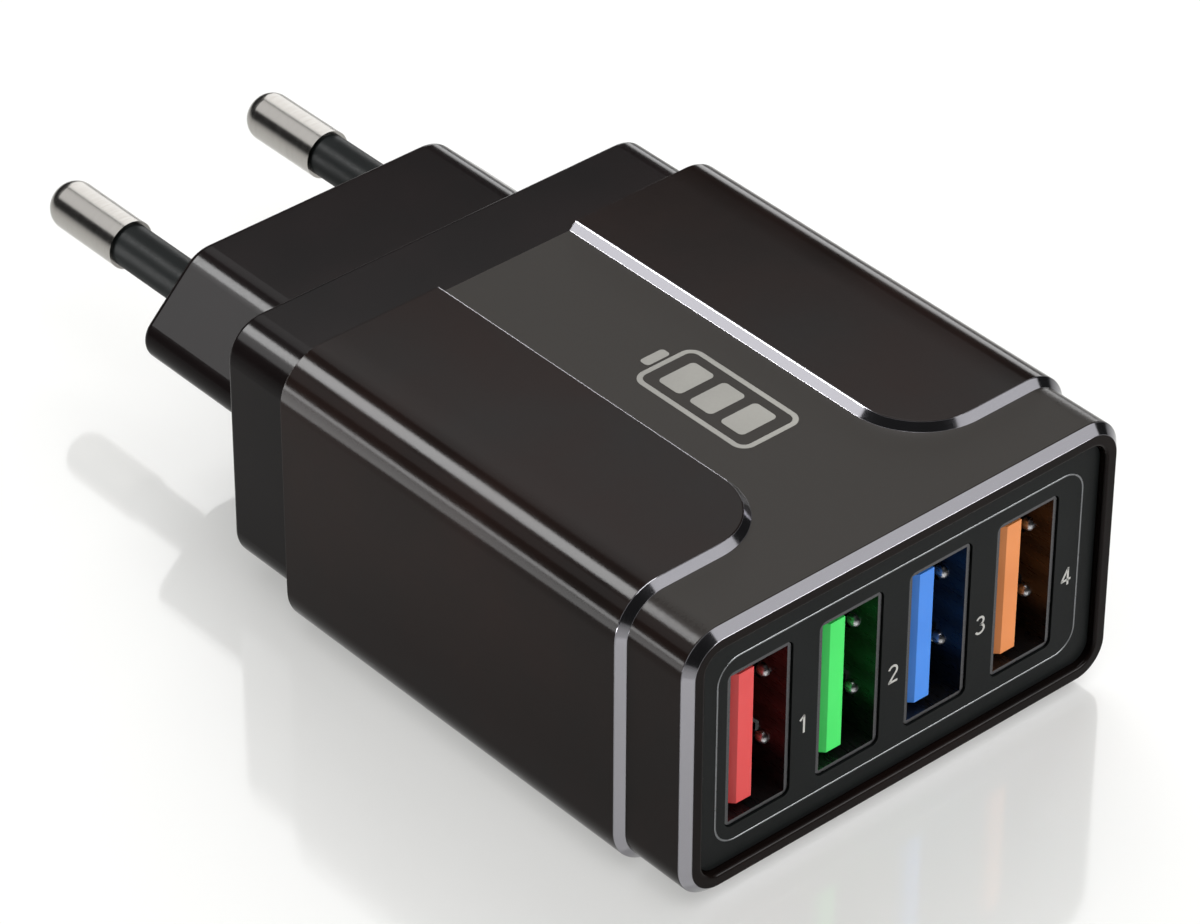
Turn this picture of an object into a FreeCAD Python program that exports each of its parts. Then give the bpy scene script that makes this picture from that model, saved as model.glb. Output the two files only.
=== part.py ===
import FreeCAD, Part
import os
import re
import Sketcher

# A four-port USB mains charger with a flat two-pin plug.
# Seen from the front, +X is to the right, the ports face -Y, the pins point to +Y and +Z is up.
# The origin is on the standing surface, below the middle of the charger's box.

VECTOR = FreeCAD.Vector
PORT_COLOURS = ["red", "green", "blue", "orange"]
SIDES = {"left": -1, "right": 1}

# Driving dimensions in millimetres, one named cell each.
SIZES = {
    # main shell
    "core_height": 22.5,
    "core_corner": 3.2,
    "case_length": 42.0,
    "case_wall": 1.8,
    "front_length": 6.0,
    "panel_raise": 0.6,
    "panel_corner": 3.6,
    "panel_step": 0.05,
    "channel_width": 11.7,
    "channel_corner": 6.0,
    "rim_chamfer": 0.7,
    "rim_width": 0.95,
    "rim_round": 0.25,
    "ledge_width": 1.0,
    "ledge_thickness": 1.5,
    "rail_grip": 0.6,
    "rail_shelf": 1.6,
    "rail_thickness": 1.2,
    "stop_width": 0.9,
    "stop_height": 4.0,
    # rear cover
    "collar_side_step": 0.55,
    "collar_top_step": 0.85,
    "collar_corner": 3.0,
    "collar_length": 7.5,
    "collar_round": 0.4,
    "lip_length": 3.0,
    "lip_wall": 1.1,
    "block_pin_margin": 7.8,
    "block_height": 11.8,
    "block_length": 14.7,
    "block_side_round": 2.0,
    "block_top_round": 3.0,
    "block_end_round": 0.6,
    "cover_wall": 1.8,
    "block_end_wall": 3.0,
    "fit_clearance": 0.05,
    # plug pins
    "pin_spacing": 19.0,
    "pin_diameter": 4.0,
    "pin_length": 19.0,
    "pin_metal_length": 8.5,
    "pin_tip_round": 1.5,
    "pin_neck_diameter": 2.4,
    "pin_tail_length": 2.5,
    "sleeve_diameter": 3.5,
    "sleeve_root_diameter": 5.2,
    "sleeve_flare_length": 2.6,
    "strip_width": 4.4,
    "strip_thickness": 0.5,
    "strip_foot_length": 2.0,
    "strip_bend": 0.5,
    "strip_margin": 0.8,
    # port plate
    "plate_recess": 0.6,
    "plate_thickness": 1.6,
    "plate_clearance": 0.08,
    "plate_side_margin": 2.0,
    # receptacles
    "port_pitch": 8.3,
    "port_row_shift": -0.7,
    "port_opening_width": 5.12,
    "port_opening_height": 12.5,
    "port_shell_wall": 0.3,
    "port_shell_corner": 0.5,
    "port_shell_length": 13.0,
    "port_shell_setback": 0.15,
    "port_shell_clearance": 0.1,
    "tongue_thickness": 1.84,
    "tongue_height": 11.1,
    "tongue_length": 8.9,
    "tongue_setback": 0.45,
    "tongue_chamfer": 0.5,
    "tongue_gap": 0.665,
    "blade_width": 1.0,
    "blade_thickness": 0.35,
    "blade_groove": 0.25,
    "data_blade_spacing": 2.0,
    "power_blade_spacing": 7.0,
    "blade_setback": 1.2,
    "finger_width": 1.5,
    "finger_length": 4.6,
    "finger_spacing": 5.8,
    "finger_start": 2.6,
    "finger_slit": 0.3,
    "finger_bend": 0.35,
    # circuit boards
    "board_thickness": 1.6,
    "board_gap": 0.3,
    "main_board_end_gap": 0.75,
    "board_standoff": 1.85,
    "header_width": 12.0,
    "header_depth": 2.5,
    "header_height": 2.5,
    "header_post": 0.64,
    "header_pitch": 2.54,
    "header_edge": 1.5,
    # transformer
    "core_across": 13.2,
    "core_along": 12.8,
    "core_thickness": 5.0,
    "core_outer_leg": 1.8,
    "core_yoke": 1.9,
    "core_centre_leg": 3.4,
    "bobbin_clearance": 0.1,
    "bobbin_wall": 0.6,
    "bobbin_flange": 0.8,
    "bobbin_height": 11.4,
    "winding_height": 10.2,
    "winding_round": 1.2,
    "transformer_edge": 0.8,
    "transformer_start": 4.6,
    # capacitors
    "bulk_diameter": 9.0,
    "bulk_height": 13.0,
    "bulk_edge": 1.6,
    "bulk_start": 11.0,
    "output_diameter": 6.3,
    "output_height": 10.0,
    "output_edge": 1.4,
    "output_start": 2.4,
    "output_space": 1.2,
    "can_crimp": 0.35,
    "can_crimp_height": 1.6,
    "can_round": 0.5,
    "safety_diameter": 7.0,
    "safety_thickness": 2.2,
    "safety_round": 0.7,
    "safety_start": 21.2,
    # other parts on the boards
    "choke_diameter": 5.6,
    "choke_height": 7.0,
    "choke_flange": 0.9,
    "choke_post_diameter": 2.6,
    "choke_winding_diameter": 4.8,
    "choke_shift": 3.3,
    "mains_end": 3.2,
    "fuse_width": 8.0,
    "fuse_length": 3.6,
    "fuse_height": 6.5,
    "fuse_round": 0.5,
    "fuse_edge": 0.7,
    "fuse_start": 19.0,
    "bridge_width": 4.6,
    "bridge_length": 3.8,
    "bridge_height": 2.4,
    "bridge_shift": -3.1,
    "package_lead_width": 0.6,
    "package_lead_length": 0.8,
    "package_lead_thickness": 0.2,
    "switch_width": 3.0,
    "switch_length": 5.0,
    "switch_height": 1.6,
    "switch_start": 18.4,
    "coupler_width": 2.8,
    "coupler_length": 4.4,
    "coupler_height": 2.0,
    "coupler_start": 12.2,
    "rectifier_width": 6.0,
    "rectifier_length": 4.0,
    "rectifier_height": 1.2,
    "rectifier_edge": 5.0,
    "rectifier_rise": 4.0,
    "controller_width": 5.0,
    "controller_length": 4.0,
    "controller_height": 1.5,
    "controller_rise": 4.0,
}

# Sizes that follow from the driving ones. Depths are measured from the front rim, heights from mid-height.
FORMULAS = {
    "rim": "rim_chamfer + rim_width",
    "seat_width": f"{len(PORT_COLOURS)} * port_pitch + 2 * plate_side_margin",
    "core_width": "seat_width + 2 * rim",
    "overall_width": "core_width + 2 * panel_raise",
    "overall_height": "core_height + 2 * panel_raise",
    "cover_end": "case_length + collar_length + block_length",
    "overall_length": "cover_end + pin_length",
    "panel_width": "(overall_width - channel_width) / 2",
    "panel_bevel": "panel_raise - panel_step",
    "collar_width": "core_width - 2 * collar_side_step",
    "collar_height": "core_height - 2 * collar_top_step",
    "block_width": "pin_spacing + 2 * block_pin_margin",
    "seat_height": "core_height - 2 * rim",
    "seat_corner": "core_corner - rim",
    "seat_depth": "plate_recess + plate_thickness",
    "ledge_end": "seat_depth + ledge_thickness",
    "ledge_opening_width": "seat_width - 2 * ledge_width",
    "ledge_opening_height": "seat_height - 2 * ledge_width",
    "cavity_width": "core_width - 2 * case_wall",
    "cavity_height": "core_height - 2 * case_wall",
    "cavity_corner": "core_corner - case_wall",
    "shell_start": "plate_recess + port_shell_setback",
    "usb_board_start": "shell_start + port_shell_length",
    "main_board_start": "usb_board_start + board_thickness",
    "main_board_end": "case_length + collar_length - cover_wall - main_board_end_gap",
    "main_board_length": "main_board_end - main_board_start",
    "main_board_width": "lip_opening_width - 2 * board_gap",
    "board_under": "board_standoff - cavity_height / 2",
    "board_top": "board_under + board_thickness",
    "lip_start": "case_length - lip_length",
    "lip_width": "cavity_width - 2 * fit_clearance",
    "lip_height": "cavity_height - 2 * fit_clearance",
    "lip_opening_width": "lip_width - 2 * lip_wall",
    "lip_opening_height": "lip_height - 2 * lip_wall",
    "rail_length": "lip_start - board_gap - main_board_start",
    "rail_inner": "main_board_width / 2 - rail_shelf",
    "rail_top_inner": "main_board_width / 2 - rail_grip",
    "block_cavity_width": "block_width - 2 * cover_wall * 1.41421356",
    "block_cavity_height": "block_height - 2 * cover_wall",
    "sleeve_bore": "pin_neck_diameter + 2 * fit_clearance",
    "pin_hole": "sleeve_root_diameter + 2 * fit_clearance",
    "sleeve_length": "pin_length - pin_metal_length",
    "pin_inner_end": "-(block_end_wall + pin_tail_length)",
    "strip_bottom": "-(strip_width / 2 + strip_bend)",
    "strip_drop": "main_board_end - strip_margin - (cover_end - block_end_wall)",
    "strip_hole": "pin_neck_diameter + 2 * fit_clearance",
    "port_shell_width": "port_opening_width + 2 * port_shell_wall",
    "port_shell_height": "port_opening_height + 2 * port_shell_wall",
    "tongue_left": "tongue_gap - port_opening_width / 2",
    "tongue_right": "tongue_left + tongue_thickness",
    "tongue_root": "tongue_setback + tongue_length",
    "blade_length": "port_shell_length - tongue_setback - blade_setback",
    "window_width": "(core_across - 2 * core_outer_leg - core_centre_leg) / 2",
    "window_length": "core_along - 2 * core_yoke",
    "bobbin_bore_width": "core_centre_leg + 2 * bobbin_clearance",
    "bobbin_bore_height": "core_thickness + 2 * bobbin_clearance",
    "bobbin_tube_width": "bobbin_bore_width + 2 * bobbin_wall",
    "bobbin_tube_height": "bobbin_bore_height + 2 * bobbin_wall",
    "bobbin_length": "window_length - 2 * bobbin_clearance",
    "bobbin_width": "core_across - 2 * core_outer_leg - 2 * bobbin_clearance",
    "winding_length": "bobbin_length - 2 * bobbin_flange",
    "winding_width": "bobbin_width - 2 * bobbin_wall",
    "transformer_x": "main_board_width / 2 - transformer_edge - core_across / 2",
    "transformer_y": "main_board_start + transformer_start + core_along / 2",
    "bulk_x": "bulk_edge + bulk_diameter / 2 - main_board_width / 2",
    "package_x": "(bulk_x + bulk_diameter / 2 + transformer_x - core_across / 2) / 2",
    "output_x": "output_edge + output_diameter / 2 - main_board_width / 2",
    "mains_y": "main_board_end - mains_end",
}

os.makedirs("parts", exist_ok=True)
doc = FreeCAD.newDocument("multi_port_usb_charger")
sheet = doc.addObject("Spreadsheet::Sheet", "Sizes")
for row, (alias, number) in enumerate(SIZES.items(), start=1):
    sheet.set(f"A{row}", alias)
    sheet.set(f"B{row}", str(number))
    sheet.setAlias(f"B{row}", alias)
doc.recompute()

nodes = []


def spell(formula):
    """Write a formula out in full, with the sheet's cells in place of plain names."""
    def swap(match):
        name = match.group(0)
        if name in FORMULAS:
            return "(" + spell(FORMULAS[name]) + ")"
        return "Sizes." + name if name in SIZES else name
    return re.sub(r"[a-z][a-z_0-9]*", swap, str(formula))


def value(formula):
    """The number that a formula gives with the sheet's present cells."""
    return float(sheet.evalExpression(spell(formula)))


def bind(item, formulas):
    """Drive each named property of an object by its formula."""
    for path, formula in formulas.items():
        item.setExpression(path, spell(formula))


def place(item, x=0, y=0, z=0):
    """Set an object down at x, at a depth y from the front rim and a height z from mid-height."""
    bind(item, {
        "Placement.Base.x": x,
        "Placement.Base.y": f"({y}) - overall_length / 2",
        "Placement.Base.z": f"({z}) + overall_height / 2",
    })


def node(item, label):
    """Name a finished sub-part and list it for export."""
    item.Label = label
    nodes.append(item)
    return item


def new_body(label):
    return node(doc.addObject("PartDesign::Body", label), label)


def sketch_in(body, role, name, formulas):
    """A sketch on one of the body's own origin planes, shifted by the given offsets."""
    sketch = body.newObject("Sketcher::SketchObject", name)
    plane = next(item for item in body.Origin.OriginFeatures if item.Role == role)
    sketch.AttachmentSupport = (plane, [""])
    sketch.MapMode = "FlatFace"
    bind(sketch, {f"AttachmentOffset.Base.{axis}": text for axis, text in formulas.items()})
    return sketch


def section(body, name, depth=0, x=0, z=0):
    """A sketch across the charger's length, at a depth behind the body's own zero."""
    return sketch_in(body, "XZ_Plane", name, {"x": x, "y": z, "z": f"-({depth})"})


def outline(sketch, corners):
    """A closed outline of straight lines, each corner held at its own two formulas."""
    points = [VECTOR(value(x), value(y), 0) for x, y in corners]
    first = sketch.GeometryCount
    count = len(points)
    for step in range(count):
        sketch.addGeometry(Part.LineSegment(points[step], points[(step + 1) % count]))
    for step in range(count):
        line = first + step
        following = first + (step + 1) % count
        sketch.addConstraint(Sketcher.Constraint("Coincident", line, 2, following, 1))
    for step, corner in enumerate(corners):
        for kind, formula in zip(("DistanceX", "DistanceY"), corner):
            held = Sketcher.Constraint(kind, -1, 1, first + step, 1, value(formula))
            index = sketch.addConstraint(held)
            sketch.setExpression(f"Constraints[{index}]", spell(formula))


def rectangle(sketch, width, height):
    """A rectangle centred on the sketch's own zero."""
    half_width, half_height = f"({width}) / 2", f"({height}) / 2"
    outline(sketch, [
        (f"-({half_width})", f"-({half_height})"),
        (half_width, f"-({half_height})"),
        (half_width, half_height),
        (f"-({half_width})", half_height),
    ])


def flat_hexagon(sketch, width, height):
    """A flattened hexagon whose four sloping sides stand at 45 degrees."""
    point, flat, half_height = f"({width}) / 2", f"(({width}) - ({height})) / 2", f"({height}) / 2"
    outline(sketch, [
        (f"-({point})", 0),
        (f"-({flat})", f"-({half_height})"),
        (flat, f"-({half_height})"),
        (point, 0),
        (flat, half_height),
        (f"-({flat})", half_height),
    ])


def circle(sketch, diameter, x=0, y=0):
    """A full circle, its centre held at two formulas."""
    centre = VECTOR(value(x), value(y), 0)
    ring = sketch.addGeometry(Part.Circle(centre, VECTOR(0, 0, 1), value(diameter) / 2))
    held = [("DistanceX", -1, 1, ring, 3, value(x)), ("DistanceY", -1, 1, ring, 3, value(y)),
            ("Diameter", ring, value(diameter))]
    for parts, formula in zip(held, (x, y, diameter)):
        index = sketch.addConstraint(Sketcher.Constraint(*parts))
        sketch.setExpression(f"Constraints[{index}]", spell(formula))


def pad(body, sketch, length, towards_rear=True):
    """Add material from a sketch; a cross-section's own normal points to the front."""
    feature = body.newObject("PartDesign::Pad", sketch.Name + "_pad")
    feature.Profile = sketch
    feature.Reversed = towards_rear
    bind(feature, {"Length": length})
    doc.recompute()
    return feature


def pocket(body, sketch, length, upward=False):
    """Take material away behind a cross-section, or above a level sketch, and make sure that some went."""
    before = body.Shape.Volume
    feature = body.newObject("PartDesign::Pocket", sketch.Name + "_pocket")
    feature.Profile = sketch
    feature.Reversed = upward
    bind(feature, {"Length": length})
    doc.recompute()
    if body.Shape.Volume >= before:
        raise RuntimeError(f"{feature.Name} cut nothing")
    return feature


def spin(body, sketch):
    """Turn a half section about the body's own vertical axis."""
    feature = body.newObject("PartDesign::Revolution", sketch.Name + "_spin")
    feature.Profile = sketch
    feature.ReferenceAxis = (sketch, ["V_Axis"])
    feature.Angle = 360
    doc.recompute()
    return feature


def chosen_edges(shape, test):
    """Names of the edges whose middle point and direction there pass a test."""
    names = []
    for number, edge in enumerate(shape.Edges, start=1):
        first, last = edge.ParameterRange
        middle = (first + last) / 2
        if test(edge.valueAt(middle), edge.tangentAt(middle)):
            names.append(f"Edge{number}")
    return names


def near(first, second):
    return abs(first - second) < 0.001


def finish_edges(body, kind, test, size):
    """A fillet (Radius) or chamfer (Size) on the body's chosen edges."""
    names = chosen_edges(body.Shape, test)
    if not names:
        raise RuntimeError(f"{body.Label} has no edge for a {kind}")
    base = body.Tip
    feature = body.newObject(f"PartDesign::{kind}", f"{body.Name}_{kind}")
    feature.Base = (base, names)
    bind(feature, {"Radius" if kind == "Fillet" else "Size": size})
    doc.recompute()
    return feature


def lengthwise_at(x, z):
    """A test for edges that run from front to rear through (+-x, +-z)."""
    across, height = value(x), value(z)

    def test(point, direction):
        return near(abs(direction.y), 1) and near(abs(point.x), across) and near(abs(point.z), height)
    return test


def level_at(*corners):
    """A test for edges that run from left to right through any of the given (y, z) corners."""
    places = [(value(y), value(z)) for y, z in corners]

    def test(point, direction):
        return near(abs(direction.x), 1) and any(near(point.y, y) and near(point.z, z) for y, z in places)
    return test


def box(name, width, length, height):
    """A block that stands on its local zero, centred in X, with its front face at Y zero."""
    item = doc.addObject("Part::Box", name)
    bind(item, {
        "Length": width,
        "Width": length,
        "Height": height,
        "Placement.Base.x": f"-({width}) / 2",
    })
    return item


def shift(item, x=None, y=None, z=None):
    """Move a block within its own piece by formulas."""
    moved = {"x": x, "y": y, "z": z}
    bind(item, {f"Placement.Base.{axis}": text for axis, text in moved.items() if text is not None})
    return item


def joined(name, items):
    item = doc.addObject("Part::MultiFuse", name)
    item.Shapes = items
    return item


def cut_from(name, base, tools):
    """A base block with several blocks taken away."""
    item = doc.addObject("Part::Cut", name)
    item.Base = base
    item.Tool = tools[0] if len(tools) == 1 else joined(name + "_tools", tools)
    return item


def grouped(name, items):
    item = doc.addObject("Part::Compound", name)
    item.Links = items
    return item


def make_main_shell():
    """The moulded box tube with its two raised side panels, front seat and board rails."""
    body = new_body("main_shell")
    core = section(body, "shell_core")
    rectangle(core, "core_width", "core_height")
    pad(body, core, "case_length")
    finish_edges(body, "Fillet", lengthwise_at("core_width / 2", "core_height / 2"), "core_corner")
    for side, sign in SIDES.items():
        panel = section(body, f"shell_panel_{side}", depth="front_length",
                        x=f"{sign} * (channel_width + panel_width) / 2")
        rectangle(panel, "panel_width", "overall_height")
        pad(body, panel, "case_length - front_length")
    finish_edges(body, "Fillet", lengthwise_at("overall_width / 2", "overall_height / 2"), "panel_corner")

    half_channel, front = value("channel_width / 2"), value("front_length")

    def channel_corner(point, direction):
        return near(abs(direction.z), 1) and near(abs(point.x), half_channel) and near(point.y, front)
    finish_edges(body, "Fillet", channel_corner, "channel_corner")
    finish_edges(body, "Chamfer", lengthwise_at("channel_width / 2", "overall_height / 2"), "panel_bevel")

    finish_edges(body, "Chamfer", level_at((0, "core_height / 2")), "rim_chamfer")

    seat = section(body, "shell_seat")
    rectangle(seat, "seat_width", "seat_height")
    pocket(body, seat, "seat_depth")
    finish_edges(body, "Fillet", lengthwise_at("seat_width / 2", "seat_height / 2"), "seat_corner")
    opening = section(body, "shell_ledge_opening", depth="seat_depth")
    rectangle(opening, "ledge_opening_width", "ledge_opening_height")
    pocket(body, opening, "ledge_thickness")
    cavity = section(body, "shell_cavity", depth="ledge_end")
    rectangle(cavity, "cavity_width", "cavity_height")
    pocket(body, cavity, "case_length - ledge_end")
    finish_edges(body, "Fillet", lengthwise_at("cavity_width / 2", "cavity_height / 2"), "cavity_corner")

    finish_edges(body, "Fillet", level_at((0, "seat_height / 2")), "rim_round")

    for side, sign in SIDES.items():
        add_shell_rib(body, f"shell_stop_{side}", sign, "cavity_width / 2 - stop_width",
                      "-(stop_height / 2)", "stop_height / 2", "ledge_end", "usb_board_start - ledge_end")
        add_shell_rib(body, f"shell_rail_{side}", sign, "rail_inner",
                      "-((cavity_height + case_wall) / 2)", "board_under", "main_board_start", "rail_length")
        add_shell_rib(body, f"shell_guide_{side}", sign, "rail_top_inner", "board_top + fit_clearance",
                      "board_top + fit_clearance + rail_thickness", "main_board_start", "rail_length")
    place(body)


def add_shell_rib(body, name, sign, inner, bottom, top, depth, length):
    """A rib along a side wall, rooted half-way into the wall."""
    outer = f"{sign} * (cavity_width + case_wall) / 2"
    inner = f"{sign} * ({inner})"
    rib = section(body, name, depth=depth)
    outline(rib, [(inner, bottom), (outer, bottom), (outer, top), (inner, top)])
    pad(body, rib, length)


def make_rear_cover():
    """Collar, lip and plug block in one moulding, hollow, with two holes for the pins."""
    body = new_body("rear_cover")
    block = section(body, "cover_block")
    flat_hexagon(block, "block_width", "block_height")
    pad(body, block, "collar_length + block_length")
    finish_edges(body, "Fillet", lengthwise_at("block_width / 2", 0), "block_side_round")
    finish_edges(body, "Fillet", lengthwise_at("(block_width - block_height) / 2", "block_height / 2"),
                 "block_top_round")
    finish_edges(body, "Fillet", level_at(("collar_length + block_length", "block_height / 2")),
                 "block_end_round")

    collar = section(body, "cover_collar")
    rectangle(collar, "collar_width", "collar_height")
    pad(body, collar, "collar_length")
    finish_edges(body, "Fillet", lengthwise_at("collar_width / 2", "collar_height / 2"), "collar_corner")
    finish_edges(body, "Fillet", level_at(("collar_length", "collar_height / 2")), "collar_round")

    lip = section(body, "cover_lip")
    rectangle(lip, "lip_width", "lip_height")
    pad(body, lip, "lip_length", towards_rear=False)
    finish_edges(body, "Fillet", lengthwise_at("lip_width / 2", "lip_height / 2"), "cavity_corner")
    cavity = section(body, "cover_cavity", depth="-(lip_length)")
    rectangle(cavity, "lip_opening_width", "lip_opening_height")
    pocket(body, cavity, "lip_length + collar_length - cover_wall")
    hollow = section(body, "cover_block_hollow", depth="collar_length - cover_wall")
    flat_hexagon(hollow, "block_cavity_width", "block_cavity_height")
    pocket(body, hollow, "cover_wall + block_length - block_end_wall")
    holes = section(body, "cover_pin_holes", depth="collar_length + block_length - block_end_wall")
    for sign in SIDES.values():
        circle(holes, "pin_hole", x=f"{sign} * pin_spacing / 2")
    pocket(body, holes, "block_end_wall")
    place(body, y="case_length")


def make_plug_pin(side, sign):
    """A turned pin with a slim neck and tail, and the moulded sleeve around its neck."""
    pin = new_body(f"pin_{side}")
    profile = sketch_in(pin, "XY_Plane", f"pin_{side}_profile", {})
    outline(profile, [
        (0, "pin_inner_end"),
        ("pin_neck_diameter / 2", "pin_inner_end"),
        ("pin_neck_diameter / 2", "sleeve_length"),
        ("pin_diameter / 2", "sleeve_length"),
        ("pin_diameter / 2", "pin_length"),
        (0, "pin_length"),
    ])
    spin(pin, profile)
    tip = value("pin_length")
    finish_edges(pin, "Fillet", lambda point, direction: near(point.y, tip), "pin_tip_round")
    place(pin, x=f"{sign} * pin_spacing / 2", y="cover_end")

    sleeve = new_body(f"sleeve_{side}")
    profile = sketch_in(sleeve, "XY_Plane", f"sleeve_{side}_profile", {})
    outline(profile, [
        ("sleeve_bore / 2", "-(block_end_wall)"),
        ("sleeve_root_diameter / 2", "-(block_end_wall)"),
        ("sleeve_root_diameter / 2", 0),
        ("sleeve_diameter / 2", "sleeve_flare_length"),
        ("sleeve_diameter / 2", "sleeve_length"),
        ("sleeve_bore / 2", "sleeve_length"),
    ])
    spin(sleeve, profile)
    place(sleeve, x=f"{sign} * pin_spacing / 2", y="cover_end")


def make_pin_contact(side, sign):
    """A bent strip: an eyelet on the pin's tail, an arm to the front and a foot on the main board."""
    body = new_body(f"pin_contact_{side}")
    profile = sketch_in(body, "YZ_Plane", f"pin_contact_{side}_profile", {"z": "-(strip_width / 2)"})
    plate_front, drop_front = "-(strip_thickness)", "strip_drop - strip_thickness"
    arm_top, foot_top = "strip_bottom + strip_thickness", "board_top + strip_thickness"
    outline(profile, [
        (0, "strip_width / 2"),
        (plate_front, "strip_width / 2"),
        (plate_front, arm_top),
        (drop_front, arm_top),
        (drop_front, foot_top),
        (f"{drop_front} - strip_foot_length", foot_top),
        (f"{drop_front} - strip_foot_length", "board_top"),
        ("strip_drop", "board_top"),
        ("strip_drop", "strip_bottom"),
        (0, "strip_bottom"),
    ])
    pad(body, profile, "strip_width", towards_rear=False)
    inner_bends = [(plate_front, arm_top), ("strip_drop", "strip_bottom"), (drop_front, foot_top)]
    outer_bends = [(0, "strip_bottom"), (drop_front, arm_top), ("strip_drop", "board_top")]
    finish_edges(body, "Fillet", level_at(*inner_bends), "strip_bend")
    finish_edges(body, "Fillet", level_at(*outer_bends), "strip_bend + strip_thickness")
    eyelet = section(body, f"pin_contact_{side}_eyelet", depth="-(strip_thickness)")
    circle(eyelet, "strip_hole")
    pocket(body, eyelet, "strip_thickness")
    place(body, x=f"{sign} * pin_spacing / 2", y="cover_end - block_end_wall")


def port_x(number):
    """Where the middle of a port's opening stands, counted from the left."""
    middle = (len(PORT_COLOURS) - 1) / 2
    return f"port_row_shift + {number - middle} * port_pitch"


def make_port_plate():
    """The front plate with one rounded opening for each receptacle."""
    body = new_body("port_plate")
    blank = section(body, "plate_blank")
    rectangle(blank, "seat_width - 2 * plate_clearance", "seat_height - 2 * plate_clearance")
    pad(body, blank, "plate_thickness")
    finish_edges(body, "Fillet", lengthwise_at("seat_width / 2 - plate_clearance",
                                               "seat_height / 2 - plate_clearance"), "seat_corner")
    for number in range(len(PORT_COLOURS)):
        opening = section(body, f"plate_opening_{number + 1}", x=port_x(number))
        rectangle(opening, "port_shell_width + 2 * port_shell_clearance",
                  "port_shell_height + 2 * port_shell_clearance")
        pocket(body, opening, "plate_thickness")
    height = value("port_shell_height / 2 + port_shell_clearance")

    def opening_corner(point, direction):
        return near(abs(direction.y), 1) and near(abs(point.z), height)
    finish_edges(body, "Fillet", opening_corner, "port_shell_corner + port_shell_clearance")
    place(body, y="plate_recess")


def make_port_shell(number):
    """The folded metal shell of one receptacle, with two spring fingers cut in each wide wall."""
    count = number + 1
    body = new_body(f"port_shell_{count}")
    blank = section(body, f"port_{count}_blank")
    rectangle(blank, "port_shell_width", "port_shell_height")
    pad(body, blank, "port_shell_length")
    finish_edges(body, "Fillet", lengthwise_at("port_shell_width / 2", "port_shell_height / 2"),
                 "port_shell_corner")
    bore = section(body, f"port_{count}_bore")
    rectangle(bore, "port_opening_width", "port_opening_height")
    pocket(body, bore, "port_shell_length")
    for side, sign in SIDES.items():
        for level in (-1, 1):
            add_spring_finger(body, f"port_{count}_{side}_{'lower' if level < 0 else 'upper'}", sign,
                              f"{level} * finger_spacing / 2 - finger_width / 2")
    place(body, x=port_x(number), y="shell_start")


def add_spring_finger(body, name, sign, bottom):
    """A slit through a wide wall, and in it a finger that leans inward from its rear end."""
    inside = f"{sign} * port_opening_width / 2"
    outside = f"{sign} * port_shell_width / 2"
    lean = f"{sign} * finger_bend"
    root, tip = "finger_start + finger_length", "finger_start + finger_slit"
    slit = sketch_in(body, "XY_Plane", name + "_slit", {"z": f"{bottom} - finger_slit"})
    outline(slit, [(inside, "finger_start"), (outside, "finger_start"), (outside, root), (inside, root)])
    pocket(body, slit, "finger_width + 2 * finger_slit", upward=True)
    finger = sketch_in(body, "XY_Plane", name + "_finger", {"z": bottom})
    outline(finger, [
        (f"{inside} - {lean}", tip),
        (f"{outside} - {lean}", tip),
        (outside, root),
        (inside, root),
    ])
    pad(body, finger, "finger_width", towards_rear=False)


def make_port_tongue(number, colour):
    """The coloured moulding that holds one receptacle's four contact blades."""
    body = new_body(f"port_tongue_{colour}")
    rear = section(body, f"tongue_{colour}_rear", depth="tongue_root")
    rectangle(rear, "port_opening_width", "port_opening_height")
    pad(body, rear, "port_shell_length - tongue_root")
    front = section(body, f"tongue_{colour}_front", depth="tongue_setback",
                    x="(tongue_left + tongue_right) / 2")
    rectangle(front, "tongue_thickness", "tongue_height")
    pad(body, front, "tongue_length")
    tip, left = value("tongue_setback"), value("tongue_left")

    def tip_edge(point, direction):
        return near(point.y, tip) and near(point.x, left) and near(abs(direction.z), 1)
    finish_edges(body, "Chamfer", tip_edge, "tongue_chamfer")
    blades = []
    for slot, height in enumerate(("-(power_blade_spacing)", "-(data_blade_spacing)", "data_blade_spacing",
                                   "power_blade_spacing")):
        groove = section(body, f"tongue_{colour}_groove_{slot + 1}", depth="tongue_setback + blade_setback",
                         x="tongue_right + (blade_thickness - 2 * blade_groove) / 2", z=f"({height}) / 2")
        rectangle(groove, "blade_thickness", "blade_width")
        pocket(body, groove, "blade_length")
        blade = box(f"blade_{colour}_{slot + 1}", "blade_thickness", "blade_length", "blade_width")
        blades.append(shift(blade, x="tongue_right - blade_groove", y="tongue_setback + blade_setback",
                            z=f"({height} - blade_width) / 2"))
    place(body, x=port_x(number), y="shell_start")
    contacts = node(grouped(f"port_contacts_{number + 1}", blades), f"port_contacts_{number + 1}")
    place(contacts, x=port_x(number), y="shell_start")


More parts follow.
